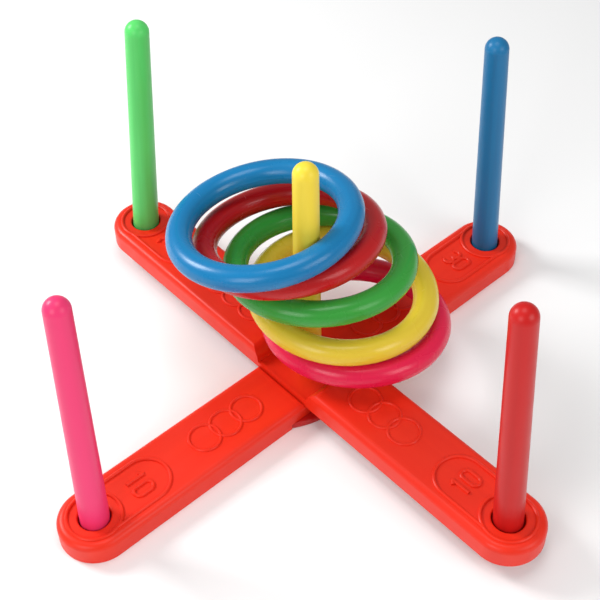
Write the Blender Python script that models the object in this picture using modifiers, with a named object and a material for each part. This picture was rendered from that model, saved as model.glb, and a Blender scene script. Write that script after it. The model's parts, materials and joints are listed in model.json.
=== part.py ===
"""Ring toss set: two crossed bars on an oval foot, five pegs and five throwing rings.

Metres, +Z up. The origin is on the ground under the centre peg. The lower bar runs
along X and the upper bar along Y.
"""
import math

import bmesh
import bpy
from mathutils import Matrix, Vector

# ---- Driving dimensions (metres, degrees) -------------------------------------------
GAP = 0.0003                 # clearance between touching pieces

PEG_SPACING = 0.174          # centre peg to each outer peg
BAR_WIDTH = 0.0466
BAR_HEIGHT = 0.0172
BAR_WALL = 0.0022
SHOULDER_RADIUS = 0.0042     # rounding between a bar's top and its sides
UPPER_LIFT = 0.0125          # underside of the upper bar above the ground

LOWER_SADDLE = UPPER_LIFT - GAP    # saddle height above each bar's own underside
UPPER_SADDLE = 0.005
SADDLE_FILLET = 0.001        # rounding at the foot of the saddle's steps
SADDLE_CLEARANCE = 0.0006    # play between a bar's side and the saddle's step
POCKET_DEPTH = 0.0012        # hollow between the ledges that carry the upper bar
LEDGE_WIDTH = 0.0021

PEG_LENGTH = 0.186
PEG_TIP_RADIUS = 0.00778
PEG_FOOT_RADIUS = 0.00928
PEG_WALL = 0.0016
SOCKET_RADIUS = 0.0102
SOCKET_WALL = 0.0018
SOCKET_FLOOR_TOP = 0.0052
SOCKET_FLOOR = 0.002
DRAIN_RADIUS = 0.003

FOOT_LENGTH = 0.1
FOOT_WIDTH = 0.064
FOOT_THICKNESS = 0.004
FOOT_COLLAR_RADIUS = 0.0202
FOOT_COLLAR_WALL = 0.002
FOOT_COLLAR_TOP = 0.0085

RING_RADIUS = 0.0541         # centre line of the tube
TUBE_RADIUS = 0.0083
RING_WALL = 0.0016
VENT_RADIUS = 0.0011

# Facets
END_SEGMENTS = 16            # on each half-round bar end
ROUND_SEGMENTS = 24          # on pegs, sockets and the foot
SHOULDER_SEGMENTS = 3
RING_SEGMENTS = 36
TUBE_SEGMENTS = 10
DOME_STEPS = 3

# Peg lean about its socket, in degrees towards +X and +Y
PEG_LEAN = {
    "peg_pink": (3.2, 2.8),
    "peg_blue": (-2.2, 1.6),
    "peg_red": (-1.2, 3.5),
    "peg_green": (1.2, -4.7),
    "peg_yellow": (0.0, 0.0),
}

# Each ring: centre (x, y, z) and lean towards +X and +Y, from the lowest ring up
RING_POSES = [
    ("ring_pink", (0.0353, -0.0083, 0.0414), (5.9, 4.7)),
    ("ring_yellow", (0.0319, 0.0010, 0.0630), (3.6, -0.3)),
    ("ring_green", (0.0248, 0.0147, 0.0857), (4.6, 7.9)),
    ("ring_red", (0.0132, 0.0315, 0.1029), (2.2, 13.1)),
    ("ring_blue", (-0.0019, 0.0362, 0.1220), (-2.4, 11.0)),
]

FINISHES = {
    # name: (linear colour, roughness)
    "bar_red": ((0.93, 0.036, 0.012), 0.38),
    "foot_red": ((0.55, 0.008, 0.008), 0.35),
    "peg_green": ((0.11, 0.65, 0.16), 0.45),
    "peg_blue": ((0.02, 0.16, 0.36), 0.45),
    "peg_pink": ((0.90, 0.06, 0.20), 0.45),
    "peg_red": ((0.58, 0.017, 0.013), 0.40),
    "peg_yellow": ((0.85, 0.65, 0.06), 0.45),
    "ring_blue": ((0.009, 0.20, 0.45), 0.22),
    "ring_red": ((0.42, 0.009, 0.009), 0.22),
    "ring_green": ((0.05, 0.36, 0.05), 0.22),
    "ring_yellow": ((0.80, 0.57, 0.06), 0.22),
    "ring_pink": ((0.78, 0.018, 0.075), 0.22),
}


# ---- Scene and helpers --------------------------------------------------------------
def clear_scene():
    for item in list(bpy.data.objects):
        bpy.data.objects.remove(item, do_unlink=True)


def new_collection(name):
    collection = bpy.data.collections.new(name)
    bpy.context.scene.collection.children.link(collection)
    return collection


def finish_material(name):
    colour, roughness = FINISHES[name]
    material = bpy.data.materials.new(name)
    material.use_nodes = True
    shader = material.node_tree.nodes["Principled BSDF"]
    shader.inputs["Base Color"].default_value = (*colour, 1.0)
    shader.inputs["Roughness"].default_value = roughness
    shader.inputs["Metallic"].default_value = 0.0
    return material


def put(mesh, name, collection):
    item = bpy.data.objects.new(name, mesh)
    collection.objects.link(item)
    return item


def as_cutter(item):
    item.hide_render = True
    item.display_type = "WIRE"
    return item


def combine(target, tool, operation):
    """Add a live Boolean of one solid on another."""
    modifier = target.modifiers.new(operation.lower() + "_" + tool.name, "BOOLEAN")
    modifier.operation = operation
    modifier.solver = "EXACT"
    modifier.object = tool


def stadium_mesh(name, half_length, radius, bottom, top, shoulder):
    """A straight-sided slab with half-round ends, long in X, its top edge rounded."""
    outline = []
    for side in (1, -1):
        for step in range(END_SEGMENTS + 1):
            angle = -side * math.pi / 2 + math.pi * step / END_SEGMENTS
            x = side * half_length + radius * math.cos(angle)
            y = radius * math.sin(angle)
            outline.append((x, y))
    shape = bmesh.new()
    low = [shape.verts.new((x, y, bottom)) for x, y in outline]
    face = shape.faces.new(low)
    lifted = bmesh.ops.extrude_face_region(shape, geom=[face])
    high = [item for item in lifted["geom"] if isinstance(item, bmesh.types.BMVert)]
    bmesh.ops.translate(shape, verts=high, vec=(0, 0, top - bottom))
    bmesh.ops.recalc_face_normals(shape, faces=shape.faces)
    if shoulder > 0:
        rim = [edge for edge in shape.edges if all(abs(v.co.z - top) < 1e-7 for v in edge.verts)]
        bmesh.ops.bevel(shape, geom=rim, offset=shoulder, segments=SHOULDER_SEGMENTS,
                        profile=0.5, affect="EDGES")
    mesh = bpy.data.meshes.new(name)
    shape.to_mesh(mesh)
    shape.free()
    return mesh


def box_mesh(name, low, high, round_low=0.0):
    """A box from its lowest to its highest corner; its lower Y edges can be rounded."""
    shape = bmesh.new()
    bmesh.ops.create_cube(shape, size=1.0)
    size = Vector(high) - Vector(low)
    middle = (Vector(high) + Vector(low)) / 2
    bmesh.ops.transform(shape, matrix=Matrix.Translation(middle) @ Matrix.Diagonal((*size, 1.0)),
                        verts=shape.verts)
    if round_low > 0:
        edges = [edge for edge in shape.edges
                 if all(abs(v.co.z - low[2]) < 1e-7 for v in edge.verts)
                 and abs(edge.verts[0].co.x - edge.verts[1].co.x) < 1e-7]
        bmesh.ops.bevel(shape, geom=edges, offset=round_low, segments=SHOULDER_SEGMENTS,
                        profile=0.5, affect="EDGES")
    mesh = bpy.data.meshes.new(name)
    shape.to_mesh(mesh)
    shape.free()
    return mesh


def cylinder_mesh(name, radius, bottom, top, x=0.0, segments=ROUND_SEGMENTS):
    """An upright cylinder over the X axis."""
    shape = bmesh.new()
    bmesh.ops.create_cone(shape, cap_ends=True, segments=segments, radius1=radius, radius2=radius,
                          depth=top - bottom, matrix=Matrix.Translation((x, 0, (top + bottom) / 2)))
    mesh = bpy.data.meshes.new(name)
    shape.to_mesh(mesh)
    shape.free()
    return mesh


def oval_mesh(name, length, width, bottom, top):
    """An upright oval slab, long in X."""
    mesh = cylinder_mesh(name, width / 2, bottom, top, segments=2 * ROUND_SEGMENTS)
    mesh.transform(Matrix.Diagonal((length / width, 1.0, 1.0, 1.0)))
    return mesh


# ---- Bars ---------------------------------------------------------------------------
SADDLE_HALF = BAR_WIDTH / 2 + SADDLE_CLEARANCE


def saddle_cutter(name, height, wall, cutters):
    """The block that lowers a bar's middle; wall grows it for the hollow beneath."""
    return as_cutter(put(box_mesh(name, (-SADDLE_HALF - wall, -BAR_WIDTH, height - wall),
                                  (SADDLE_HALF + wall, BAR_WIDTH, BAR_HEIGHT + 0.01), SADDLE_FILLET),
                         name, cutters))


def pocket_cutter(name, height, wall, cutters):
    """The shallow block between the saddle's ledges; wall grows it downwards."""
    half = BAR_WIDTH / 2 - LEDGE_WIDTH
    return as_cutter(put(box_mesh(name, (-SADDLE_HALF, -half, height - POCKET_DEPTH - wall),
                                  (SADDLE_HALF, half, height + 0.002)), name, cutters))


def make_bar(name, saddle, has_pocket, material, parts, cutters):
    """One hollow bar, long in X: open underneath, with two end sockets and a saddle."""
    bar = put(stadium_mesh(name, PEG_SPACING, BAR_WIDTH / 2, 0.0, BAR_HEIGHT, SHOULDER_RADIUS),
              name, parts)
    bar.data.materials.append(material)
    hollow = put(stadium_mesh(name + "_hollow", PEG_SPACING, BAR_WIDTH / 2 - BAR_WALL, -0.004,
                              BAR_HEIGHT - BAR_WALL, SHOULDER_RADIUS - BAR_WALL),
                 name + "_hollow", cutters)
    as_cutter(hollow)
    combine(hollow, saddle_cutter(name + "_saddle_under", saddle, BAR_WALL, cutters), "DIFFERENCE")
    combine(bar, saddle_cutter(name + "_saddle", saddle, 0.0, cutters), "DIFFERENCE")
    if has_pocket:
        combine(hollow, pocket_cutter(name + "_pocket_under", saddle, BAR_WALL, cutters), "DIFFERENCE")
        combine(bar, pocket_cutter(name + "_pocket", saddle, 0.0, cutters), "DIFFERENCE")
    combine(bar, hollow, "DIFFERENCE")
    for index, x in enumerate((-PEG_SPACING, PEG_SPACING)):
        add_socket(bar, f"{name}_socket_{index}", x, cutters)
    return bar


def add_socket(bar, name, x, cutters):
    """A blind cup for a peg, with a drain hole in its floor."""
    low = SOCKET_FLOOR_TOP - SOCKET_FLOOR
    cup = put(cylinder_mesh(name + "_cup", SOCKET_RADIUS + SOCKET_WALL, low,
                            BAR_HEIGHT - BAR_WALL / 2, x), name + "_cup", cutters)
    bore = put(cylinder_mesh(name + "_bore", SOCKET_RADIUS, SOCKET_FLOOR_TOP, BAR_HEIGHT + 0.01, x),
               name + "_bore", cutters)
    drain = put(cylinder_mesh(name + "_drain", DRAIN_RADIUS, -0.001, SOCKET_FLOOR_TOP + 0.001, x,
                              segments=12), name + "_drain", cutters)
    combine(bar, as_cutter(cup), "UNION")
    combine(bar, as_cutter(bore), "DIFFERENCE")
    combine(bar, as_cutter(drain), "DIFFERENCE")


def add_centre_sleeve(bar, low, high, cutters):
    """A sleeve under the saddle that the centre peg passes through."""
    name = bar.name
    sleeve = put(cylinder_mesh(name + "_sleeve", SOCKET_RADIUS + SOCKET_WALL, low, high),
                 name + "_sleeve", cutters)
    bore = put(cylinder_mesh(name + "_through", SOCKET_RADIUS, -0.002, BAR_HEIGHT + 0.01),
               name + "_through", cutters)
    combine(bar, as_cutter(sleeve), "UNION")
    combine(bar, as_cutter(bore), "DIFFERENCE")


def raise_across(bar, cutters):
    """Lift a bar and turn it along Y, with every cutter made for it."""
    for tool in cutters.objects:
        if tool.name.startswith(bar.name):
            tool.parent = bar
    bar.location.z = UPPER_LIFT
    bar.rotation_euler.z = math.pi / 2


def notch_for_foot(bar, cutters):
    """Relieve both skirts of the lower bar where the oval foot passes under them."""
    notch = put(oval_mesh("foot_notch", FOOT_LENGTH + 4 * GAP, FOOT_WIDTH + 4 * GAP, -0.002,
                          FOOT_THICKNESS + GAP), "foot_notch", cutters)
    combine(bar, as_cutter(notch), "DIFFERENCE")


def make_foot(material, parts, cutters):
    """The oval foot under the crossing, with a collar that locates in the lower bar."""
    foot = put(oval_mesh("centre_foot", FOOT_LENGTH, FOOT_WIDTH, 0.0, FOOT_THICKNESS),
               "centre_foot", parts)
    foot.data.materials.append(material)
    shape = bmesh.new()
    shape.from_mesh(foot.data)
    rim = [edge for edge in shape.edges if all(abs(v.co.z - FOOT_THICKNESS) < 1e-7 for v in edge.verts)]
    bmesh.ops.bevel(shape, geom=rim, offset=0.0015, segments=2, profile=0.5, affect="EDGES")
    shape.to_mesh(foot.data)
    shape.free()
    collar = put(cylinder_mesh("foot_collar", FOOT_COLLAR_RADIUS, FOOT_THICKNESS / 2, FOOT_COLLAR_TOP),
                 "foot_collar", cutters)
    bore = put(cylinder_mesh("foot_collar_bore", FOOT_COLLAR_RADIUS - FOOT_COLLAR_WALL,
                             FOOT_THICKNESS, FOOT_COLLAR_TOP + 0.002), "foot_collar_bore", cutters)
    combine(foot, as_cutter(collar), "UNION")
    combine(foot, as_cutter(bore), "DIFFERENCE")


# ---- Pegs ---------------------------------------------------------------------------
def peg_profile():
    """Half section of a hollow tapered peg, from the tip down its outside and up its inside."""
    shoulder = PEG_LENGTH - PEG_TIP_RADIUS
    inner_tip = PEG_TIP_RADIUS - PEG_WALL
    points = []
    for step in range(DOME_STEPS + 1):
        angle = math.pi / 2 * (1 - step / DOME_STEPS)
        points.append((PEG_TIP_RADIUS * math.cos(angle), shoulder + PEG_TIP_RADIUS * math.sin(angle)))
    points.append((PEG_FOOT_RADIUS, 0.0))
    points.append((PEG_FOOT_RADIUS - PEG_WALL, 0.0))
    for step in range(DOME_STEPS + 1):
        angle = math.pi / 2 * step / DOME_STEPS
        points.append((inner_tip * math.cos(angle), shoulder + inner_tip * math.sin(angle)))
    points[0] = (0.0, points[0][1])
    points[-1] = (0.0, points[-1][1])
    return points


def peg_mesh():
    shape = bmesh.new()
    verts = [shape.verts.new((x, 0.0, z)) for x, z in peg_profile()]
    for first, second in zip(verts, verts[1:]):
        shape.edges.new((first, second))
    mesh = bpy.data.meshes.new("peg")
    shape.to_mesh(mesh)
    shape.free()
    return mesh


def make_peg(name, place, material, parts):
    """One peg, its origin at the bottom of its own axis."""
    peg = put(peg_mesh(), name, parts)
    peg.data.materials.append(material)
    turn = peg.modifiers.new("turn", "SCREW")
    turn.steps = ROUND_SEGMENTS
    turn.render_steps = ROUND_SEGMENTS
    turn.use_merge_vertices = True
    turn.merge_threshold = 0.00001
    lean_x, lean_y = PEG_LEAN[name]
    grip = (BAR_HEIGHT - SOCKET_FLOOR_TOP) / 2
    axis = Vector((math.tan(math.radians(lean_x)), math.tan(math.radians(lean_y)), 1.0)).normalized()
    peg.rotation_euler = axis.to_track_quat("Z", "Y").to_euler()
    lift = PEG_FOOT_RADIUS * math.sqrt(1 - axis.z ** 2)
    x, y, z = place
    peg.location = (x - axis.x * grip, y - axis.y * grip, z + lift)
    return peg


# ---- Rings --------------------------------------------------------------------------
def torus(name, tube, cutters, segments):
    bpy.ops.mesh.primitive_torus_add(major_radius=RING_RADIUS, minor_radius=tube,
                                     major_segments=RING_SEGMENTS, minor_segments=segments)
    item = bpy.context.active_object
    item.name = name
    item.data.name = name
    for owner in list(item.users_collection):
        owner.objects.unlink(item)
    cutters.objects.link(item)
    return as_cutter(item)


def ring_mesh(cutters):
    """One hollow ring: a tube bent in a circle, with a small vent in its underside."""
    body = torus("ring_pattern", TUBE_RADIUS, cutters, TUBE_SEGMENTS)
    core = torus("ring_core", TUBE_RADIUS - RING_WALL, cutters, TUBE_SEGMENTS - 2)
    vent = as_cutter(put(cylinder_mesh("ring_vent", VENT_RADIUS, -TUBE_RADIUS - 0.001,
                                       -TUBE_RADIUS + 0.004, RING_RADIUS, segments=8),
                         "ring_vent", cutters))
    combine(body, core, "DIFFERENCE")
    combine(body, vent, "DIFFERENCE")
    graph = bpy.context.evaluated_depsgraph_get()
    return bpy.data.meshes.new_from_object(body.evaluated_get(graph))


def make_ring(name, centre, lean, pattern, material, parts):
    mesh = pattern.copy()
    mesh.name = name
    mesh.materials.clear()
    mesh.materials.append(material)
    ring = put(mesh, name, parts)
    axis = Vector((math.tan(math.radians(lean[0])), math.tan(math.radians(lean[1])), 1.0))
    ring.rotation_euler = axis.to_track_quat("Z", "Y").to_euler()
    ring.location = centre
    return ring


# ---- The set ------------------------------------------------------------------------
def main():
    clear_scene()
    parts = new_collection("ring_toss_set")
    cutters = new_collection("ring_toss_cutters")
    materials = {name: finish_material(name) for name in FINISHES}

    red = materials["bar_red"]
    lower = make_bar("lower_bar", LOWER_SADDLE, True, red, parts, cutters)
    add_centre_sleeve(lower, FOOT_THICKNESS + 2 * GAP, LOWER_SADDLE - POCKET_DEPTH - BAR_WALL / 2,
                      cutters)
    notch_for_foot(lower, cutters)
    upper = make_bar("upper_bar", UPPER_SADDLE, False, red, parts, cutters)
    add_centre_sleeve(upper, GAP, UPPER_SADDLE - BAR_WALL / 2, cutters)
    raise_across(upper, cutters)
    make_foot(materials["foot_red"], parts, cutters)

    floor = SOCKET_FLOOR_TOP + GAP
    places = {
        "peg_pink": (-PEG_SPACING, 0.0, floor),
        "peg_blue": (PEG_SPACING, 0.0, floor),
        "peg_red": (0.0, -PEG_SPACING, floor + UPPER_LIFT),
        "peg_green": (0.0, PEG_SPACING, floor + UPPER_LIFT),
        "peg_yellow": (0.0, 0.0, FOOT_THICKNESS + GAP),
    }
    for name, place in places.items():
        make_peg(name, place, materials[name], parts)

    pattern = ring_mesh(cutters)
    for name, centre, lean in RING_POSES:
        make_ring(name, centre, lean, pattern, materials[name], parts)


main()
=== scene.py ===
"""Ring toss set: the finished mouldings of two crossed bars, their pegs and the throwing rings.

Metres, +Z up. The origin is on the ground under the centre peg. The lower bar runs along X
and the upper bar along Y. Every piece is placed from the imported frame.
"""
import json
import logging
import math
from collections.abc import Callable
from dataclasses import dataclass, field
from enum import Enum

import bpy
from mathutils import Euler, Matrix, Vector


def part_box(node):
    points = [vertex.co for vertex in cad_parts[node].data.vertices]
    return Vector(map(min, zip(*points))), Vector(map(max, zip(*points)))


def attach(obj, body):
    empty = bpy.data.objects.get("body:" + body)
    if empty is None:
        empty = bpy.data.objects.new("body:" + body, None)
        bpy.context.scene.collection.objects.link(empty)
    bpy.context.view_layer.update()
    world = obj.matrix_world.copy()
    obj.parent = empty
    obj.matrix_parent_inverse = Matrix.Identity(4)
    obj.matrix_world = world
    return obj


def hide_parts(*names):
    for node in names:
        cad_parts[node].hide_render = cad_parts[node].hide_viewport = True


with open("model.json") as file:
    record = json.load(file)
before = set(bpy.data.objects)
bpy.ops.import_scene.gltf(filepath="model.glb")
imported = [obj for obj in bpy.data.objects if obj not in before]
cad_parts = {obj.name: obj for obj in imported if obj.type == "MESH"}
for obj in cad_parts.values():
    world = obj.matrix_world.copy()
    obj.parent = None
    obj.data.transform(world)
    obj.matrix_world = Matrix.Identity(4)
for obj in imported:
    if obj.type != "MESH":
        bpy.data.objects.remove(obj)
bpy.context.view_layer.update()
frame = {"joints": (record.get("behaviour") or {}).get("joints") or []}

LOG = logging.getLogger("ring_toss_set")

Piece = bpy.types.Object
Colour = tuple[float, float, float]
Point = tuple[float, float]

MM = 0.001
WELD = 0.000004              # vertices closer than this are one


# ---- Modelling by hand --------------------------------------------------------------
class Join(Enum):
    """How one solid acts on another."""

    ADD = "UNION"
    CUT = "DIFFERENCE"


def put_down() -> None:
    """Leave edit mode with nothing selected."""
    if bpy.context.object is not None and bpy.context.object.mode != "OBJECT":
        bpy.ops.object.mode_set(mode="OBJECT")
    bpy.ops.object.select_all(action="DESELECT")


def pick_up(piece: Piece) -> Piece:
    """Select one piece alone and make it active.

    Args:
        piece: The object to work on.

    Returns:
        The same object.
    """
    put_down()
    piece.select_set(True)
    bpy.context.view_layer.objects.active = piece
    return piece


def call(name: str) -> Piece:
    """Name the primitive that was just added, with its place put into its mesh.

    Args:
        name: The new object's name.

    Returns:
        The active object.
    """
    piece = bpy.context.active_object
    piece.name = name
    piece.data.name = name
    bpy.ops.object.transform_apply(location=True, rotation=True, scale=True)
    return piece


def edit_where(piece: Piece, test: Callable[[Vector], bool]) -> None:
    """Open a piece in edit mode with the vertices selected whose place passes a test.

    Args:
        piece: The object to edit.
        test: Tells from a vertex's place whether it is selected.
    """
    pick_up(piece)
    bpy.ops.object.mode_set(mode="EDIT")
    bpy.ops.mesh.select_mode(type="VERT")
    bpy.ops.mesh.select_all(action="DESELECT")
    bpy.ops.object.mode_set(mode="OBJECT")
    for vertex in piece.data.vertices:
        vertex.select = test(vertex.co)
    bpy.ops.object.mode_set(mode="EDIT")


def clean(piece: Piece, weld: float = WELD) -> Piece:
    """Merge doubles and turn every face outwards.

    Args:
        piece: The object to clean.
        weld: Vertices closer than this become one.

    Returns:
        The same object.
    """
    pick_up(piece)
    bpy.ops.object.mode_set(mode="EDIT")
    bpy.ops.mesh.select_all(action="SELECT")
    bpy.ops.mesh.remove_doubles(threshold=weld)
    bpy.ops.mesh.normals_make_consistent(inside=False)
    bpy.ops.object.mode_set(mode="OBJECT")
    return piece


def combine(piece: Piece, tool: Piece, how: Join, crossing: bool = False) -> None:
    """Join a solid to a piece or cut it away, and use the solid up.

    Args:
        piece: The object that is changed.
        tool: The solid that acts on it, which is removed.
        how: Whether the tool is added or cut away.
        crossing: True when the tool's own parts pass through each other.
    """
    modifier = piece.modifiers.new(tool.name, "BOOLEAN")
    modifier.operation = how.value
    modifier.solver = "EXACT"
    modifier.use_self = crossing
    modifier.object = tool
    pick_up(piece)
    bpy.ops.object.modifier_apply(modifier=modifier.name)
    bpy.data.objects.remove(tool, do_unlink=True)


def polish(piece: Piece, angle: float = 32.0) -> Piece:
    """Shade a piece smooth up to an angle, with flat faces kept flat beside their roundings.

    Args:
        piece: The object to shade.
        angle: Edges sharper than this many degrees stay crisp.

    Returns:
        The same object.
    """
    pick_up(piece)
    bpy.ops.object.shade_smooth_by_angle(angle=math.radians(angle))
    weighted = piece.modifiers.new("weighted", "WEIGHTED_NORMAL")
    weighted.keep_sharp = True
    bpy.ops.object.modifier_apply(modifier=weighted.name)
    return piece


def slab(name: str, radius: float, low: float, high: float, start: float, end: float,
         sides: int = 96) -> Piece:
    """Pull a disc apart along X into a slab with half-round ends.

    Args:
        name: The piece's name.
        radius: Half the slab's width.
        low: Height of its underside.
        high: Height of its top.
        start: X of the centre of its first end.
        end: X of the centre of its other end.
        sides: Facets round the two ends together.

    Returns:
        The slab.
    """
    put_down()
    bpy.ops.mesh.primitive_cylinder_add(vertices=sides, radius=radius, depth=high - low,
                                        location=(0, 0, (low + high) / 2),
                                        rotation=(0, 0, math.pi / sides))
    piece = call(name)
    edit_where(piece, lambda place: place.x > 0)
    bpy.ops.transform.translate(value=(end - start, 0, 0))
    bpy.ops.mesh.select_all(action="SELECT")
    bpy.ops.transform.translate(value=(start, 0, 0))
    bpy.ops.object.mode_set(mode="OBJECT")
    return piece


def round_rim(piece: Piece, height: float, size: float, steps: int) -> None:
    """Round every edge that lies at one height.

    Args:
        piece: The object to bevel.
        height: Height of the edges.
        size: Width of the rounding.
        steps: Facets across it.
    """
    edit_where(piece, lambda place: abs(place.z - height) < WELD)
    bpy.ops.mesh.bevel(offset=size, segments=steps, profile=0.5, affect="EDGES")
    bpy.ops.object.mode_set(mode="OBJECT")


def block(name: str, low: tuple[float, float, float], high: tuple[float, float, float]) -> Piece:
    """Make a rectangular block between two corners.

    Args:
        name: The piece's name.
        low: Its lowest corner.
        high: Its highest corner.

    Returns:
        The block.
    """
    put_down()
    middle = [(a + b) / 2 for a, b in zip(low, high)]
    size = [b - a for a, b in zip(low, high)]
    bpy.ops.mesh.primitive_cube_add(size=1.0, location=middle, scale=size)
    return call(name)


def oval(name: str, length: float, width: float, low: float, high: float) -> Piece:
    """Stretch a disc along X into an upright oval slab.

    Args:
        name: The piece's name.
        length: Its size along X.
        width: Its size along Y.
        low: Height of its underside.
        high: Height of its top.

    Returns:
        The slab.
    """
    put_down()
    bpy.ops.mesh.primitive_cylinder_add(vertices=96, radius=width / 2, depth=high - low,
                                        location=(0, 0, (low + high) / 2))
    piece = call(name)
    stretch_along(piece, length / width)
    return piece


def stretch_along(piece: Piece, factor: float) -> None:
    """Stretch a piece along X about the origin.

    Args:
        piece: The object to stretch.
        factor: How many times longer it becomes.
    """
    edit_where(piece, lambda place: True)
    bpy.ops.transform.resize(value=(factor, 1, 1), center_override=(0, 0, 0))
    bpy.ops.object.mode_set(mode="OBJECT")


def turned(name: str, section: list[Point], sides: int = 64, x: float = 0.0) -> Piece:
    """Turn a half section about an upright axis, by drawing a circle along it.

    Args:
        name: The piece's name.
        section: (radius, height) points, closed where its last point is its first or lies
            on the axis as its first does.
        sides: Facets round the axis.
        x: Where the axis stands.

    Returns:
        The turned solid.
    """
    pin = WELD / 8
    radii = [max(radius, pin) for radius, _ in section]
    put_down()
    bpy.ops.mesh.primitive_circle_add(vertices=sides, radius=radii[0], fill_type="NOTHING",
                                      location=(x, 0, section[0][1]))
    piece = call(name)
    edit_where(piece, lambda place: True)
    for index in range(1, len(section)):
        height = section[index][1]
        step = (0, 0, height - section[index - 1][1])
        grow = radii[index] / radii[index - 1]
        bpy.ops.mesh.extrude_region_move(TRANSFORM_OT_translate={"value": step})
        bpy.ops.transform.resize(value=(grow, grow, 1), center_override=(x, 0, height))
    return clean(piece)


def arc(centre: Point, radius: float, start: float, end: float, steps: int) -> list[Point]:
    """Points along an arc.

    Args:
        centre: The arc's centre.
        radius: Its radius.
        start: Its first angle in degrees.
        end: Its last angle in degrees.
        steps: How many chords it has.

    Returns:
        The points from start to end.
    """
    angles = [math.radians(start + (end - start) * step / steps) for step in range(steps + 1)]
    return [(centre[0] + radius * math.cos(a), centre[1] + radius * math.sin(a)) for a in angles]


@dataclass(frozen=True)
class Stroke:
    """A route on a bar's top that a raised line follows."""

    route: list[Point]
    closed: bool = False


def raised_lines(name: str, strokes: list[Stroke], width: float, top: float,
                 rise: float) -> Piece:
    """Make raised lines with a rounded back, half sunk in the face they stand on.

    Args:
        name: The piece's name.
        strokes: The routes of the lines.
        width: Width of a line.
        top: Height of the lines' backs.
        rise: Half the height of a line's section.

    Returns:
        One piece that holds every line as a closed tube.
    """
    curve = bpy.data.curves.new(name, "CURVE")
    curve.dimensions = "3D"
    curve.bevel_depth = width / 2
    curve.bevel_resolution = 3
    curve.use_fill_caps = True
    for stroke in strokes:
        spline = curve.splines.new("POLY")
        spline.points.add(len(stroke.route) - 1)
        for point, (x, y) in zip(spline.points, stroke.route):
            point.co = (x, y, 0, 1)
        spline.use_cyclic_u = stroke.closed
    piece = bpy.data.objects.new(name, curve)
    bpy.context.scene.collection.objects.link(piece)
    pick_up(piece)
    bpy.ops.object.convert(target="MESH")
    edit_where(piece, lambda place: True)
    bpy.ops.transform.resize(value=(1, 1, 2 * rise / width), center_override=(0, 0, 0))
    bpy.ops.transform.translate(value=(0, 0, top - rise))
    return clean(piece)


# ---- Shader groups ------------------------------------------------------------------
class Graph:
    """A node tree under construction, with short ways to add and wire nodes."""

    def __init__(self, tree: bpy.types.NodeTree) -> None:
        """Work on one node tree.

        Args:
            tree: The tree that the nodes go in.
        """
        self.tree = tree

    def add(self, kind: str, **settings: object) -> bpy.types.Node:
        """Add a node.

        Args:
            kind: Its type.
            **settings: Properties to set on it.

        Returns:
            The node.
        """
        node = self.tree.nodes.new(kind)
        for name, value in settings.items():
            setattr(node, name, value)
        return node

    def feed(self, socket: bpy.types.NodeSocket, value: object) -> None:
        """Give a socket its value, or wire it to an output.

        Args:
            socket: The input to set.
            value: A number, a colour, or another node's output.
        """
        if isinstance(value, bpy.types.NodeSocket):
            self.tree.links.new(value, socket)
        else:
            socket.default_value = value

    def math(self, operation: str, first: object, second: object = 0.0) -> bpy.types.NodeSocket:
        """Add a Math node.

        Args:
            operation: What it does.
            first: Its first input.
            second: Its second input.

        Returns:
            Its result.
        """
        node = self.add("ShaderNodeMath", operation=operation)
        self.feed(node.inputs[0], first)
        self.feed(node.inputs[1], second)
        return node.outputs[0]

    def noise(self, vector: object, scale: object, detail: float = 3.0) -> bpy.types.NodeSocket:
        """Add a Noise texture.

        Args:
            vector: Where it is read.
            scale: Its scale.
            detail: Its number of octaves.

        Returns:
            Its value, about 0.5 on the average.
        """
        node = self.add("ShaderNodeTexNoise")
        self.feed(node.inputs["Vector"], vector)
        self.feed(node.inputs["Scale"], scale)
        node.inputs["Detail"].default_value = detail
        return node.outputs["Fac"]

    def stretch(self, vector: object, scale: object) -> bpy.types.NodeSocket:
        """Multiply a vector by another.

        Args:
            vector: The first.
            scale: The second.

        Returns:
            Their product.
        """
        node = self.add("ShaderNodeVectorMath", operation="MULTIPLY")
        self.feed(node.inputs[0], vector)
        self.feed(node.inputs[1], scale)
        return node.outputs[0]

    def band(self, value: object, low: float, high: float) -> bpy.types.NodeSocket:
        """Spread the part of a value between two limits over 0 to 1.

        Args:
            value: The value.
            low: What becomes 0.
            high: What becomes 1.

        Returns:
            The spread value.
        """
        node = self.add("ShaderNodeMapRange", interpolation_type="SMOOTHSTEP")
        self.feed(node.inputs["Value"], value)
        node.inputs["From Min"].default_value = low
        node.inputs["From Max"].default_value = high
        return node.outputs[0]

    def blend(self, share: object, first: object, second: object) -> bpy.types.NodeSocket:
        """Mix two colours.

        Args:
            share: How much of the second is in the mix.
            first: The colour at 0.
            second: The colour at 1.

        Returns:
            The mixed colour.
        """
        node = self.add("ShaderNodeMix", data_type="RGBA")
        self.feed(node.inputs[0], share)
        self.feed(node.inputs[6], first)
        self.feed(node.inputs[7], second)
        return node.outputs[2]


def new_group(name: str, inputs: dict[str, str], outputs: dict[str, str]
              ) -> tuple[bpy.types.NodeTree, Graph, bpy.types.Node, bpy.types.Node]:
    """Start a shader node group.

    Args:
        name: The group's name.
        inputs: Each input's name and socket type.
        outputs: Each output's name and socket type.

    Returns:
        The group, its graph, and its input and output nodes.
    """
    group = bpy.data.node_groups.new(name, "ShaderNodeTree")
    for way, sockets in (("INPUT", inputs), ("OUTPUT", outputs)):
        for label, kind in sockets.items():
            group.interface.new_socket(label, in_out=way, socket_type=kind)
    graph = Graph(group)
    return group, graph, graph.add("NodeGroupInput"), graph.add("NodeGroupOutput")


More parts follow.
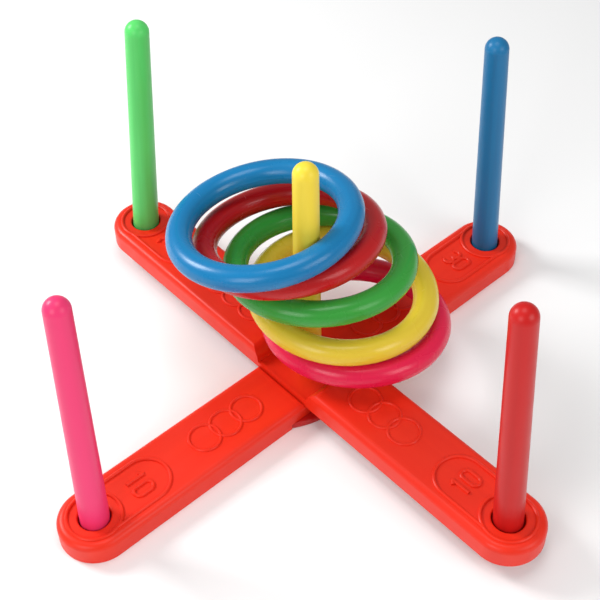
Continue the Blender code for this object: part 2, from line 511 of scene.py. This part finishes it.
def mould_skin_group() -> bpy.types.NodeTree:
    """Build the skin that a steel mould leaves on plastic: fine grain on soft waves.

    Returns:
        The group, which puts out a height.
    """
    group, graph, inside, out = new_group(
        "mould_skin", {"Vector": "NodeSocketVector", "Grain": "NodeSocketFloat"},
        {"Height": "NodeSocketFloat"})
    waves = graph.noise(inside.outputs["Vector"], 75.0, 2.0)
    grain = graph.noise(inside.outputs["Vector"], inside.outputs["Grain"], 4.0)
    height = graph.math("ADD", graph.math("MULTIPLY", waves, 1.0),
                        graph.math("MULTIPLY", grain, 0.16))
    graph.feed(out.inputs["Height"], height)
    return group


def flow_marks_group() -> bpy.types.NodeTree:
    """Build the faint streaks of plastic that has run along a mould.

    Returns:
        The group, which puts out a mask of streaks and one of broad clouds.
    """
    group, graph, inside, out = new_group(
        "flow_marks", {"Vector": "NodeSocketVector", "Stretch": "NodeSocketVector"},
        {"Streaks": "NodeSocketFloat", "Clouds": "NodeSocketFloat"})
    along = graph.stretch(inside.outputs["Vector"], inside.outputs["Stretch"])
    graph.feed(out.inputs["Streaks"], graph.band(graph.noise(along, 1.0, 5.0), 0.38, 0.66))
    clouds = graph.noise(inside.outputs["Vector"], 22.0, 3.0)
    graph.feed(out.inputs["Clouds"], graph.band(clouds, 0.34, 0.68))
    return group


def handling_group() -> bpy.types.NodeTree:
    """Build light wear from play: sparse hairline scuffs and duller patches.

    Returns:
        The group, which puts out a mask of scuffs and one of haze.
    """
    group, graph, inside, out = new_group(
        "handling", {"Vector": "NodeSocketVector"},
        {"Scuffs": "NodeSocketFloat", "Haze": "NodeSocketFloat"})
    slant = graph.add("ShaderNodeMapping")
    graph.feed(slant.inputs["Vector"], inside.outputs["Vector"])
    slant.inputs["Rotation"].default_value = (0.3, 0.5, 0.7)
    slant.inputs["Scale"].default_value = (260.0, 26.0, 140.0)
    hairs = graph.band(graph.noise(slant.outputs[0], 1.0, 2.0), 0.70, 0.76)
    where = graph.band(graph.noise(inside.outputs["Vector"], 34.0, 2.0), 0.52, 0.64)
    graph.feed(out.inputs["Scuffs"], graph.math("MULTIPLY", hairs, where))
    haze = graph.noise(inside.outputs["Vector"], 48.0, 4.0)
    graph.feed(out.inputs["Haze"], graph.band(haze, 0.36, 0.70))
    return group


def round_space_group() -> bpy.types.NodeTree:
    """Build a space in which a pattern runs round an upright axis without a seam.

    Returns:
        The group, which puts out distance from the axis, height, and a slow drift.
    """
    group, graph, inside, out = new_group(
        "round_space", {"Vector": "NodeSocketVector"}, {"Vector": "NodeSocketVector"})
    split = graph.add("ShaderNodeSeparateXYZ")
    graph.feed(split.inputs[0], inside.outputs["Vector"])
    x, y, z = split.outputs
    reach = graph.math("SQRT", graph.math("ADD", graph.math("MULTIPLY", x, x),
                                          graph.math("MULTIPLY", y, y)))
    drift = graph.math("MULTIPLY", graph.noise(inside.outputs["Vector"], 9.0, 1.0), 0.05)
    join = graph.add("ShaderNodeCombineXYZ")
    for socket, value in zip(join.inputs, (reach, z, drift)):
        graph.feed(socket, value)
    graph.feed(out.inputs["Vector"], join.outputs[0])
    return group


# ---- Finishes -----------------------------------------------------------------------
class Flow(Enum):
    """Which way the plastic ran in the mould, and how far a streak is stretched."""

    ALONG_BAR = (7.0, 120.0, 60.0)
    UP_PEG = (230.0, 230.0, 9.0)
    ROUND_RING = (300.0, 300.0, 60.0)


@dataclass(frozen=True)
class Plastic:
    """A moulded plastic, with the colours and gloss of its surface."""

    name: str
    colour: Colour
    streak: Colour
    flow: Flow
    roughness: float = 0.34
    streak_share: float = 0.35        # how much of the streak's colour shows at most
    grain: float = 1500.0             # fineness of the mould's grain
    skin_depth: float = 0.00005
    shine: float = 0.5                # level of the mirror reflection

    def make(self, groups: dict[str, bpy.types.NodeTree], place: Vector, turn: Euler
             ) -> bpy.types.Material:
        """Build the material for one piece.

        Args:
            groups: The shader groups by name.
            place: The piece's own middle, where its pattern is centred.
            turn: The piece's own turn.

        Returns:
            The material.
        """
        material = bpy.data.materials.new(self.name)
        material.use_nodes = True
        material.diffuse_color = (*self.colour, 1.0)
        graph = Graph(material.node_tree)
        shader = material.node_tree.nodes["Principled BSDF"]
        space = self._own_space(graph, place, turn)
        flow = self._group(graph, groups["flow_marks"], self._flow_space(graph, groups, space))
        flow.inputs["Stretch"].default_value = self.flow.value
        wear = self._group(graph, groups["handling"], space)
        skin = self._group(graph, groups["mould_skin"], space)
        skin.inputs["Grain"].default_value = self.grain

        streaks = graph.math("MULTIPLY", flow.outputs["Streaks"], self.streak_share)
        base = graph.blend(streaks, (*self.colour, 1.0), (*self.streak, 1.0))
        pale = tuple(min(1.0, 0.72 * channel + 0.22) for channel in self.colour)
        worn = graph.math("MULTIPLY", wear.outputs["Scuffs"], 0.12)
        graph.feed(shader.inputs["Base Color"], graph.blend(worn, base, (*pale, 1.0)))

        dull = graph.math("MULTIPLY", wear.outputs["Haze"], 0.07)
        dull = graph.math("ADD", dull, graph.math("MULTIPLY", wear.outputs["Scuffs"], 0.04))
        dull = graph.math("ADD", dull, graph.math("MULTIPLY", flow.outputs["Clouds"], 0.05))
        graph.feed(shader.inputs["Roughness"], graph.math("ADD", dull, self.roughness - 0.05))

        bump = graph.add("ShaderNodeBump")
        bump.inputs["Strength"].default_value = 1.0
        bump.inputs["Distance"].default_value = self.skin_depth
        graph.feed(bump.inputs["Height"], skin.outputs["Height"])
        graph.feed(shader.inputs["Normal"], bump.outputs["Normal"])

        shader.inputs["Metallic"].default_value = 0.0
        shader.inputs["IOR"].default_value = 1.49
        shader.inputs["Specular IOR Level"].default_value = self.shine
        return material

    @staticmethod
    def _group(graph: Graph, group: bpy.types.NodeTree, vector: bpy.types.NodeSocket
               ) -> bpy.types.Node:
        """Place a shader group and give it its vector."""
        node = graph.add("ShaderNodeGroup", node_tree=group)
        graph.feed(node.inputs["Vector"], vector)
        return node

    @staticmethod
    def _own_space(graph: Graph, place: Vector, turn: Euler) -> bpy.types.NodeSocket:
        """Return Object coordinates moved and turned to the piece's own axes."""
        coordinates = graph.add("ShaderNodeTexCoord")
        mapping = graph.add("ShaderNodeMapping", vector_type="TEXTURE")
        mapping.inputs["Location"].default_value = place
        mapping.inputs["Rotation"].default_value = turn
        graph.feed(mapping.inputs["Vector"], coordinates.outputs["Object"])
        return mapping.outputs["Vector"]

    def _flow_space(self, graph: Graph, groups: dict[str, bpy.types.NodeTree],
                    space: bpy.types.NodeSocket) -> bpy.types.NodeSocket:
        """Return the space that the streaks run in: round a ring, straight elsewhere."""
        if self.flow is not Flow.ROUND_RING:
            return space
        return self._group(graph, groups["round_space"], space).outputs["Vector"]


BAR_PLASTIC = Plastic("bar_red", (0.820, 0.027, 0.008), (0.74, 0.018, 0.006), Flow.ALONG_BAR,
                      roughness=0.38, grain=1900.0, shine=0.3)
# The foot's red is the bars' red painted darker: painted shade for the shade that falls under the
# crossing.
FOOT_PLASTIC_PAINTED_SHADE = Plastic("foot_red", (0.52, 0.010, 0.008), (0.40, 0.006, 0.006), Flow.ALONG_BAR,
                       roughness=0.34)
PEG_PLASTICS = {
    "peg_green": Plastic("peg_green", (0.105, 0.66, 0.150), (0.075, 0.55, 0.10), Flow.UP_PEG,
                        shine=0.3),
    "peg_blue": Plastic("peg_blue", (0.010, 0.165, 0.370), (0.012, 0.12, 0.28), Flow.UP_PEG,
                        shine=0.3),
    "peg_pink": Plastic("peg_pink", (0.860, 0.044, 0.170), (0.84, 0.045, 0.17), Flow.UP_PEG,
                        shine=0.3),
    "peg_red": Plastic("peg_red", (0.560, 0.010, 0.009), (0.50, 0.012, 0.010), Flow.UP_PEG,
                        shine=0.3),
    "peg_yellow": Plastic("peg_yellow", (0.880, 0.690, 0.055), (0.84, 0.61, 0.04), Flow.UP_PEG,
                        shine=0.3),
}
RING_PLASTICS = {
    "ring_blue": Plastic("ring_blue", (0.005, 0.195, 0.450), (0.003, 0.150, 0.360),
                         Flow.ROUND_RING, roughness=0.26, shine=0.38),
    "ring_red": Plastic("ring_red", (0.500, 0.007, 0.009), (0.400, 0.005, 0.006),
                        Flow.ROUND_RING, roughness=0.26, shine=0.38),
    "ring_green": Plastic("ring_green", (0.040, 0.350, 0.045), (0.030, 0.280, 0.034),
                          Flow.ROUND_RING, roughness=0.26, shine=0.38),
    "ring_yellow": Plastic("ring_yellow", (0.780, 0.570, 0.042), (0.730, 0.490, 0.030),
                           Flow.ROUND_RING, roughness=0.26, shine=0.38),
    "ring_pink": Plastic("ring_pink", (0.760, 0.010, 0.068), (0.660, 0.007, 0.052),
                         Flow.ROUND_RING, roughness=0.26, shine=0.38),
}


def dress(piece: Piece, node: str, body: str, plastic: Plastic,
          groups: dict[str, bpy.types.NodeTree], place: Vector, turn: Euler) -> None:
    """Give a finished piece its material and let it stand for its CAD node.

    Args:
        piece: The finished piece.
        node: The CAD node that it stands for.
        body: The body that it moves with.
        plastic: Its finish.
        groups: The shader groups by name.
        place: Its own middle.
        turn: Its own turn.
    """
    piece.data.materials.clear()
    piece.data.materials.append(plastic.make(groups, place, turn))
    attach(piece, body)
    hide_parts(node)
    LOG.info("%s stands for %s: %d faces", piece.name, node, len(piece.data.polygons))


# ---- The bars -----------------------------------------------------------------------
class Score(Enum):
    """A number moulded near a bar's end."""

    TEN = "10"
    THIRTY = "30"


@dataclass
class Digits:
    """Rounded single-line digits, drawn about a middle."""

    height: float = 13.2 * MM
    width: float = 7.0 * MM
    pitch: float = 8.8 * MM

    def strokes(self, score: Score, across: float) -> list[Stroke]:
        """Draw a score with its feet towards -X, reading towards -Y.

        Args:
            score: The number to draw.
            across: X of the middle of the digits.

        Returns:
            The strokes of both digits.
        """
        drawn = []
        for side, digit in zip((-1, 1), score.value):
            for stroke in self._digit(digit):
                route = [(across + v, -(u + side * self.pitch / 2)) for u, v in stroke.route]
                drawn.append(Stroke(route, stroke.closed))
        return drawn

    def _digit(self, digit: str) -> list[Stroke]:
        """Return one digit's strokes about its own middle, reading to the right."""
        half, tall = self.width / 2, self.height / 2
        if digit == "0":
            straight = tall - half
            route = arc((0, straight), half, 0, 180, 14) + arc((0, -straight), half, 180, 360, 14)
            return [Stroke(route, closed=True)]
        if digit == "1":
            return [Stroke([(0, -tall), (0, tall)]), Stroke([(0, tall), (-2.6 * MM, tall - 2.6 * MM)])]
        bowl = tall / 2
        return [Stroke(arc((0, bowl), bowl, 150, -90, 18)), Stroke(arc((0, -bowl), bowl, 90, -150, 18))]


@dataclass
class Bar:
    """A hollow bar with half-round ends: a peg socket at each end and a saddle in the middle."""

    name: str
    node: str
    body: str
    scores: tuple[Score, Score]
    crosswise: bool
    underside: float
    over_foot: bool
    ledge: float                      # height of the saddle's side lips
    pocket: float                     # how far the saddle's floor lies below its lips
    sleeve: float                     # height of the sleeve's foot
    lead: float                       # rounding at the top of the saddle's steps
    lip: float = 2.1 * MM             # width of each lip
    fillet: float = 1.0 * MM          # rounding at the foot of the steps
    fit: float = 0.6 * MM             # play between the crossing bar and a step
    relief: float = 1.15 * MM         # how far the raised lines stand above the flat top
    shoulder: float = 4.6 * MM
    wall: float = 2.2 * MM
    socket: float = 10.2 * MM
    socket_floor: float = 5.2 * MM
    floor_depth: float = 2.0 * MM     # thickness of a socket's floor
    drain: float = 3.0 * MM           # radius of the drain through it
    mouth: float = 1.1 * MM           # rounding at a socket's mouth
    cup_wall: float = 1.8 * MM
    line: float = 2.5 * MM            # width of the line round the score
    loop_line: float = 2.2 * MM
    digit_line: float = 2.6 * MM
    panel: float = 16.0 * MM          # half width of the score's panel
    panel_reach: float = 38.3 * MM    # from the peg to the middle of its round end
    score_reach: float = 32.0 * MM    # from the peg to the middle of the digits
    score_shift: float = 2.0 * MM     # by which both scores lie towards +X
    sunk: float = 0.35 * MM           # how far the score's panel lies below the flat top
    eye: float = 16.9 * MM            # radius of the line round the socket
    loop: float = 10.2 * MM           # radius of each linked circle
    loop_pitch: float = 17.1 * MM
    loop_start: float = 54.0 * MM
    foot_room: float = 4.3 * MM       # height relieved for the foot
    foot_play: float = 1.2 * MM       # how much wider the relief is than the foot
    clear: float = 5.0 * MM           # how far a cutter reaches past the bar
    digits: Digits = field(default_factory=Digits)

    def __post_init__(self) -> None:
        """Read the bar's length, width and height from its CAD node."""
        low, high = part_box(self.node)
        size = high - low
        self.length = size.y if self.crosswise else size.x
        self.radius = (size.x if self.crosswise else size.y) / 2
        self.height = size.z
        self.reach = self.length / 2 - self.radius
        self.top = self.height - self.relief

    def build(self, groups: dict[str, bpy.types.NodeTree]) -> Piece:
        """Model the bar, set it in place and dress it.

        Args:
            groups: The shader groups by name.

        Returns:
            The finished bar.
        """
        bar = self._shell()
        for side, score in zip((-1, 1), self.scores):
            self._socket(bar, side)
            self._panel(bar, side)
            combine(bar, self._relief(side, score), Join.ADD, crossing=True)
            self._bore(bar, side)
        self._centre_sleeve(bar)
        if self.over_foot:
            self._foot_relief(bar)
        turn = Euler((0, 0, math.pi / 2 if self.crosswise else 0))
        place = Vector((0, 0, self.underside))
        bar.matrix_world = Matrix.Translation(place) @ turn.to_matrix().to_4x4()
        pick_up(bar)
        bpy.ops.object.transform_apply(location=True, rotation=True, scale=True)
        clean(bar, 0.02 * MM)
        polish(bar)
        dress(bar, self.node, self.body, BAR_PLASTIC, groups, place, turn)
        return bar

    def _shell(self) -> Piece:
        """Model the outer skin, hollow underneath and lowered at the saddle."""
        bar = slab(self.name, self.radius, 0, self.top, -self.reach, self.reach)
        round_rim(bar, self.top, self.shoulder, 7)
        round_rim(bar, 0, 0.5 * MM, 2)
        inner = self.radius - self.wall
        hollow = slab("hollow", inner, -4 * MM, self.top - self.wall, -self.reach, self.reach)
        round_rim(hollow, self.top - self.wall, self.shoulder - self.wall, 3)
        combine(hollow, self._saddle("ledge_under", self.wall, self.radius * 2), Join.CUT)
        combine(bar, self._saddle("ledge", 0, self.radius * 2), Join.CUT)
        combine(bar, self._saddle_floor(), Join.CUT)
        combine(bar, hollow, Join.CUT)
        return bar

    def _saddle(self, name: str, wall: float, reach: float) -> Piece:
        """Make the block that lowers a bar's middle, with rounded steps at both ends."""
        half = self.radius + self.fit + wall
        floor = self.ledge - wall
        crest = self.top - wall + 0.03 * MM      # a hair proud, so that it meets no face flush
        lead = self.lead
        section = arc((half - self.fillet, floor + self.fillet), self.fillet, 270, 360, 5)
        section += arc((half + lead, crest - lead), lead, 180, 90, 8)
        section.append((half + lead, self.height + self.clear))
        outline = section + [(-x, z) for x, z in reversed(section)]
        curve = bpy.data.curves.new(name, "CURVE")
        curve.dimensions = "2D"
        curve.fill_mode = "BOTH"
        curve.extrude = reach
        spline = curve.splines.new("POLY")
        spline.points.add(len(outline) - 1)
        for point, (x, z) in zip(spline.points, outline):
            point.co = (x, z, 0, 1)
        spline.use_cyclic_u = True
        cutter = bpy.data.objects.new(name, curve)
        bpy.context.scene.collection.objects.link(cutter)
        pick_up(cutter)
        bpy.ops.object.convert(target="MESH")
        cutter.rotation_euler = (math.pi / 2, 0, 0)
        bpy.ops.object.transform_apply(location=True, rotation=True, scale=True)
        return clean(cutter)

    def _saddle_floor(self) -> Piece:
        """Make the shallow pocket between the saddle's lips."""
        half = self.radius - self.lip
        side = self.radius + 0.1 * MM
        return block("pocket", (-side, -half, self.ledge - self.pocket),
                     (side, half, self.ledge + 2 * MM))

    def _socket(self, bar: Piece, side: int) -> None:
        """Add the cup that a peg stands in."""
        outer = self.socket + self.cup_wall
        low = self.socket_floor - self.floor_depth
        inside_top = self.top - self.wall / 2
        cup = turned("cup", [(0, low), (outer, low), (outer, inside_top), (0, inside_top)],
                     x=side * self.reach)
        combine(bar, cup, Join.ADD)

    def _bore(self, bar: Piece, side: int) -> None:
        """Bore the socket, with a rounded mouth and a drain through its floor."""
        brim = self.top - self.sunk
        above = self.height + self.clear
        mouth = arc((self.socket + self.mouth, brim - self.mouth), self.mouth, 180, 90, 6)
        section = [(0, self.socket_floor), (self.socket, self.socket_floor), *mouth,
                   (self.socket + self.mouth, above), (0, above)]
        combine(bar, turned("bore", section, x=side * self.reach), Join.CUT)
        drop = self.socket_floor + MM
        combine(bar, turned("drain", [(0, -MM), (self.drain, -MM), (self.drain, drop), (0, drop)],
                            sides=24, x=side * self.reach), Join.CUT)

    def _panel(self, bar: Piece, side: int) -> None:
        """Sink the score's panel and the socket's surround a little."""
        start, end = sorted((side * (self.reach - self.panel_reach), side * self.reach))
        panel = slab("panel", self.panel, self.top - self.sunk, self.height + 3 * MM, start, end,
                     sides=64)
        combine(bar, panel, Join.CUT)

    def _relief(self, side: int, score: Score) -> Piece:
        """Draw the lines on one arm: panel, ring round the socket, score and linked circles."""
        peg = side * self.reach
        apex = side * (self.reach - self.panel_reach)
        centre = side * (self.reach - self.score_reach) + self.score_shift
        leg = peg - side * math.sqrt(self.eye ** 2 - self.panel ** 2)
        start = 90 if side > 0 else -90
        outline = [(leg, side * self.panel), *arc((apex, 0), self.panel, start, start + 180, 28),
                   (leg, -side * self.panel)]
        frame_lines = raised_lines("frame_lines", [Stroke(outline)], self.line, self.height,
                                   self.relief * 1.15)
        others = [
            ("eye_line", [self._circle(peg, self.eye)], self.line),
            ("loop_lines", [self._circle(side * (self.loop_start + self.loop_pitch * step), self.loop)
                            for step in range(3)], self.loop_line),
            ("digit_lines", self.digits.strokes(score, centre), self.digit_line),
        ]
        parts = [raised_lines(label, strokes, width, self.height - 0.05 * MM, self.relief * 1.1)
                 for label, strokes, width in others]
        pick_up(frame_lines)
        for part in parts:
            part.select_set(True)
        bpy.ops.object.join()
        return frame_lines

    @staticmethod
    def _circle(x: float, radius: float) -> Stroke:
        """Return a closed circle on the bar's middle line."""
        return Stroke(arc((x, 0), radius, 0, 352.5, 47), closed=True)

    def _centre_sleeve(self, bar: Piece) -> None:
        """Add the sleeve that the centre peg passes through, and bore it."""
        low = self.sleeve
        high = self.ledge - self.pocket - 0.5 * MM
        outer = self.socket + self.cup_wall
        combine(bar, turned("sleeve", [(0, low), (outer, low), (outer, high), (0, high)]), Join.ADD)
        above = self.height + self.clear
        combine(bar, turned("through", [(0, -2 * MM), (self.socket, -2 * MM), (self.socket, above),
                                        (0, above)]), Join.CUT)

    def _foot_relief(self, bar: Piece) -> None:
        """Relieve both skirts where the oval foot passes under them."""
        low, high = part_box("centre_foot")
        combine(bar, oval("foot_relief", high.x - low.x + self.foot_play,
                          high.y - low.y + self.foot_play, -2 * MM, self.foot_room), Join.CUT)


# ---- The foot -----------------------------------------------------------------------
@dataclass
class CentreFoot:
    """The oval foot under the crossing, with the collar that locates it."""

    thickness: float = 4.0 * MM
    collar: float = 20.2 * MM
    collar_wall: float = 2.0 * MM
    rim: float = 1.5 * MM

    def build(self, groups: dict[str, bpy.types.NodeTree]) -> Piece:
        """Turn the plate, stretch it to an oval, stand the collar on it and dress it.

        Args:
            groups: The shader groups by name.

        Returns:
            The finished foot.
        """
        low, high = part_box("centre_foot")
        radius = (high.y - low.y) / 2
        edge = arc((radius - self.rim, self.thickness - self.rim), self.rim, 0, 90, 6)
        groove = arc((radius - 6 * MM, self.thickness), 0.7 * MM, 0, -180, 6)
        foot = turned("oval_foot", [(0, 0), (radius - 0.5 * MM, 0), (radius, 0.5 * MM), *edge,
                                    *groove, (0, self.thickness)], sides=96)
        stretch_along(foot, (high.x - low.x) / (high.y - low.y))
        combine(foot, turned("collar", self._collar(high.z)), Join.ADD)
        polish(foot)
        # The foot is dressed in the darker red, which is painted shade from the crossing above it.
        dress(foot, "centre_foot", "base", FOOT_PLASTIC_PAINTED_SHADE, groups, Vector(), Euler())
        return foot

    def _collar(self, top: float) -> list[Point]:
        """Return the collar's closed section, up to its top."""
        inner = self.collar - self.collar_wall
        soft = 0.4 * MM
        low = self.thickness - MM
        return [(inner, low), (self.collar, low), (self.collar, top - soft),
                (self.collar - soft, top), (inner + soft, top), (inner, top - soft), (inner, low)]


# ---- Pegs ---------------------------------------------------------------------------
@dataclass
class Peg:
    """A hollow tapered peg with a round tip, open at its foot."""

    node: str
    tip: float = 7.78 * MM
    foot: float = 9.28 * MM
    wall: float = 1.6 * MM
    length: float = 185.97 * MM

    def build(self, groups: dict[str, bpy.types.NodeTree]) -> Piece:
        """Turn the peg, lean it as its joint's axis leans, and dress it.

        Args:
            groups: The shader groups by name.

        Returns:
            The finished peg.
        """
        peg = turned(self.node.replace("peg_", "") + "_peg", self._section(), sides=64)
        axis = self._axis()
        turn = axis.to_track_quat("Z", "Y").to_euler()
        place = self._foot_centre(axis)
        peg.matrix_world = Matrix.Translation(place) @ turn.to_matrix().to_4x4()
        pick_up(peg)
        bpy.ops.object.transform_apply(location=True, rotation=True, scale=True)
        polish(peg, 40.0)
        dress(peg, self.node, self.node, PEG_PLASTICS[self.node], groups, place, turn)
        return peg

    def _section(self) -> list[Point]:
        """Return the half section: down the outside, round the foot and up the inside."""
        shoulder = self.length - self.tip
        soft = 0.5 * MM
        inner_tip = self.tip - self.wall
        inner_foot = self.foot - self.wall
        outside = arc((0, shoulder), self.tip, 90, 0, 14)
        inside = arc((0, shoulder), inner_tip, 0, 90, 8)
        return [*outside, (self.foot, soft), (self.foot - soft, 0), (inner_foot + soft, 0),
                (inner_foot, soft), *inside]

    def _axis(self) -> Vector:
        """Return the direction that the peg is drawn out in."""
        joint = next(joint for joint in frame["joints"] if joint["child"] == self.node)
        return Vector(joint["axis"]).normalized()

    def _foot_centre(self, axis: Vector) -> Vector:
        """Return the middle of the peg's open end, from its CAD node's box.

        Where the peg leans, its tip makes one side of the box and its foot the other.
        """
        low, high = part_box(self.node)
        across = math.sqrt(1 - axis.z ** 2)
        z = low.z + self.foot * across
        tip_centre = self.length - self.tip
        middle = []
        for index in (0, 1):
            if abs(axis[index]) * tip_centre < self.foot - self.tip:
                middle.append((low[index] + high[index]) / 2)
                continue
            ends = ((low[index] + self.tip, high[index] - self.foot * axis.z)
                    if axis[index] < 0 else (high[index] - self.tip, low[index] + self.foot * axis.z))
            middle.append((ends[0] - axis[index] * tip_centre + ends[1]) / 2)
        return Vector((*middle, z))


# ---- Rings --------------------------------------------------------------------------
@dataclass
class Ring:
    """A throwing ring: a round tube bent in a circle, with a vent in its underside."""

    node: str
    lean: tuple[float, float]         # degrees towards +X and +Y
    radius: float = 54.1 * MM
    tube: float = 8.3 * MM
    seam: float = 0.09 * MM           # how far the parting line stands out
    vent: float = 1.1 * MM

    def build(self, groups: dict[str, bpy.types.NodeTree]) -> Piece:
        """Model the ring, lay it as it leans in the pile, and dress it.

        Args:
            groups: The shader groups by name.

        Returns:
            The finished ring.
        """
        put_down()
        bpy.ops.mesh.primitive_torus_add(major_radius=self.radius, minor_radius=self.tube,
                                         major_segments=144, minor_segments=36)
        ring = call(self.node.replace("ring_", "") + "_ring")
        self._raise_seam(ring)
        depth = 1.4 * MM
        hole = turned("vent", [(0, -self.tube - MM), (self.vent, -self.tube - MM),
                               (self.vent, depth - self.tube), (0, depth - self.tube)],
                      sides=20, x=self.radius)
        combine(ring, hole, Join.CUT)
        axis = Vector((math.tan(math.radians(self.lean[0])), math.tan(math.radians(self.lean[1])), 1))
        turn = axis.to_track_quat("Z", "Y").to_euler()
        low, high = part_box(self.node)
        place = (low + high) / 2
        ring.matrix_world = Matrix.Translation(place) @ turn.to_matrix().to_4x4()
        pick_up(ring)
        bpy.ops.object.transform_apply(location=True, rotation=True, scale=True)
        polish(ring, 50.0)
        dress(ring, self.node, self.node, RING_PLASTICS[self.node], groups, place, turn)
        return ring

    def _raise_seam(self, ring: Piece) -> None:
        """Raise the fine line where the two halves of the mould met, inside and outside."""
        for grow, edge in ((self.seam, self.radius + self.tube), (-self.seam, self.radius - self.tube)):
            edit_where(ring, lambda place: abs(math.hypot(place.x, place.y) - edge) < 0.02 * MM
                       and abs(place.z) < 0.02 * MM)
            bpy.ops.mesh.bevel(offset=0.28 * MM, segments=2, profile=1.0, affect="EDGES")
            bpy.ops.object.mode_set(mode="OBJECT")
            edit_where(ring, lambda place: abs(math.hypot(place.x, place.y) - edge) < 0.02 * MM
                       and abs(place.z) < 0.02 * MM)
            factor = (edge + grow) / edge
            bpy.ops.transform.resize(value=(factor, factor, 1), center_override=(0, 0, 0))
            bpy.ops.object.mode_set(mode="OBJECT")


# ---- Studio -------------------------------------------------------------------------
@dataclass
class Studio:
    """A pale floor, soft lights and the camera."""

    azimuth: float = -41.505
    elevation: float = 46.718
    roll: float = -1.063
    distance: float = 0.8516
    slide: Point = (-0.00546, 0.05411)      # the camera's own right and up
    lens: float = 76.07

    def build(self) -> None:
        """Set up the floor, the lights, the world and the camera."""
        self._floor()
        self._world()
        self._light("key", (-0.45, 0.95, 0.80), 0.40, 11.0)
        self._light("overhead", (0.0, 0.0, 1.25), 0.5, 3.5)
        self._light("front_left", (-1.10, -0.30, 0.70), 0.6, 5.0)
        self._light("front_right", (0.20, -1.10, 0.70), 0.6, 4.5)
        self._camera()
        bpy.context.scene.view_settings.view_transform = "Standard"

    def _camera(self) -> None:
        """Place the camera by its angles about the origin."""
        a, e, r = (math.radians(value) for value in (self.azimuth, self.elevation, self.roll))
        right = Vector((math.cos(a), math.sin(a), 0))
        back = Vector((math.sin(a) * math.cos(e), -math.cos(a) * math.cos(e), math.sin(e)))
        up = back.cross(right)
        image_right = right * math.cos(r) + up * math.sin(r)
        image_up = up * math.cos(r) - right * math.sin(r)
        spot = image_right * self.slide[0] + image_up * self.slide[1] + back * self.distance
        data = bpy.data.cameras.new("camera")
        data.lens = self.lens
        data.sensor_width = 36.0
        camera = bpy.data.objects.new("camera", data)
        bpy.context.scene.collection.objects.link(camera)
        turn = Matrix((image_right, image_up, back)).transposed()
        camera.matrix_world = Matrix.Translation(spot) @ turn.to_4x4()
        bpy.context.scene.camera = camera

    @staticmethod
    def _floor() -> None:
        """Lay the pale floor."""
        put_down()
        bpy.ops.mesh.primitive_plane_add(size=8.0, location=(0, 0, 0))
        floor = call("floor")
        material = bpy.data.materials.new("floor")
        material.use_nodes = True
        shader = material.node_tree.nodes["Principled BSDF"]
        shader.inputs["Base Color"].default_value = (0.93, 0.93, 0.93, 1.0)
        shader.inputs["Roughness"].default_value = 0.9
        shader.inputs["Specular IOR Level"].default_value = 0.1
        floor.data.materials.append(material)

    @staticmethod
    def _world() -> None:
        """Light everything from all round with a soft white."""
        world = bpy.data.worlds.new("studio")
        world.use_nodes = True
        background = world.node_tree.nodes["Background"]
        background.inputs["Color"].default_value = (1.0, 1.0, 1.0, 1.0)
        background.inputs["Strength"].default_value = 0.36
        bpy.context.scene.world = world

    @staticmethod
    def _light(name: str, place: tuple[float, float, float], size: float, power: float) -> None:
        """Hang one soft square light that faces the object."""
        data = bpy.data.lights.new(name, "AREA")
        data.shape = "SQUARE"
        data.size = size
        data.energy = power
        light = bpy.data.objects.new(name, data)
        light.location = place
        aim = Vector((0, 0, 0.06)) - Vector(place)
        light.rotation_euler = aim.to_track_quat("-Z", "Y").to_euler()
        bpy.context.scene.collection.objects.link(light)


def main() -> None:
    """Build the set piece by piece, then the studio round it."""
    logging.basicConfig(level=logging.INFO, format="%(message)s")
    groups = {group.name: group for group in (mould_skin_group(), flow_marks_group(),
                                              handling_group(), round_space_group())}
    upper_low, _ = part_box("upper_bar")
    bars = [
        Bar("lower_bar_moulding", "lower_bar", "base", (Score.TEN, Score.THIRTY), crosswise=False,
            underside=0.0, over_foot=True, ledge=12.2 * MM, pocket=1.2 * MM, sleeve=4.6 * MM,
            lead=2.6 * MM),
        Bar("upper_bar_moulding", "upper_bar", "upper", (Score.TEN, Score.THIRTY), crosswise=True,
            underside=upper_low.z, over_foot=False, ledge=5.0 * MM, pocket=0.8 * MM,
            sleeve=0.3 * MM, lead=9.0 * MM),
    ]
    pegs = [Peg(node) for node in PEG_PLASTICS]
    rings = [
        Ring("ring_pink", (5.9, 4.7)),
        Ring("ring_yellow", (3.6, -0.3)),
        Ring("ring_green", (4.6, 7.9)),
        Ring("ring_red", (2.2, 13.1)),
        Ring("ring_blue", (-2.4, 11.0)),
    ]
    for part in (*bars, CentreFoot(), *pegs, *rings):
        part.build(groups)
    Studio().build()


if __name__ == "__main__":
    main()
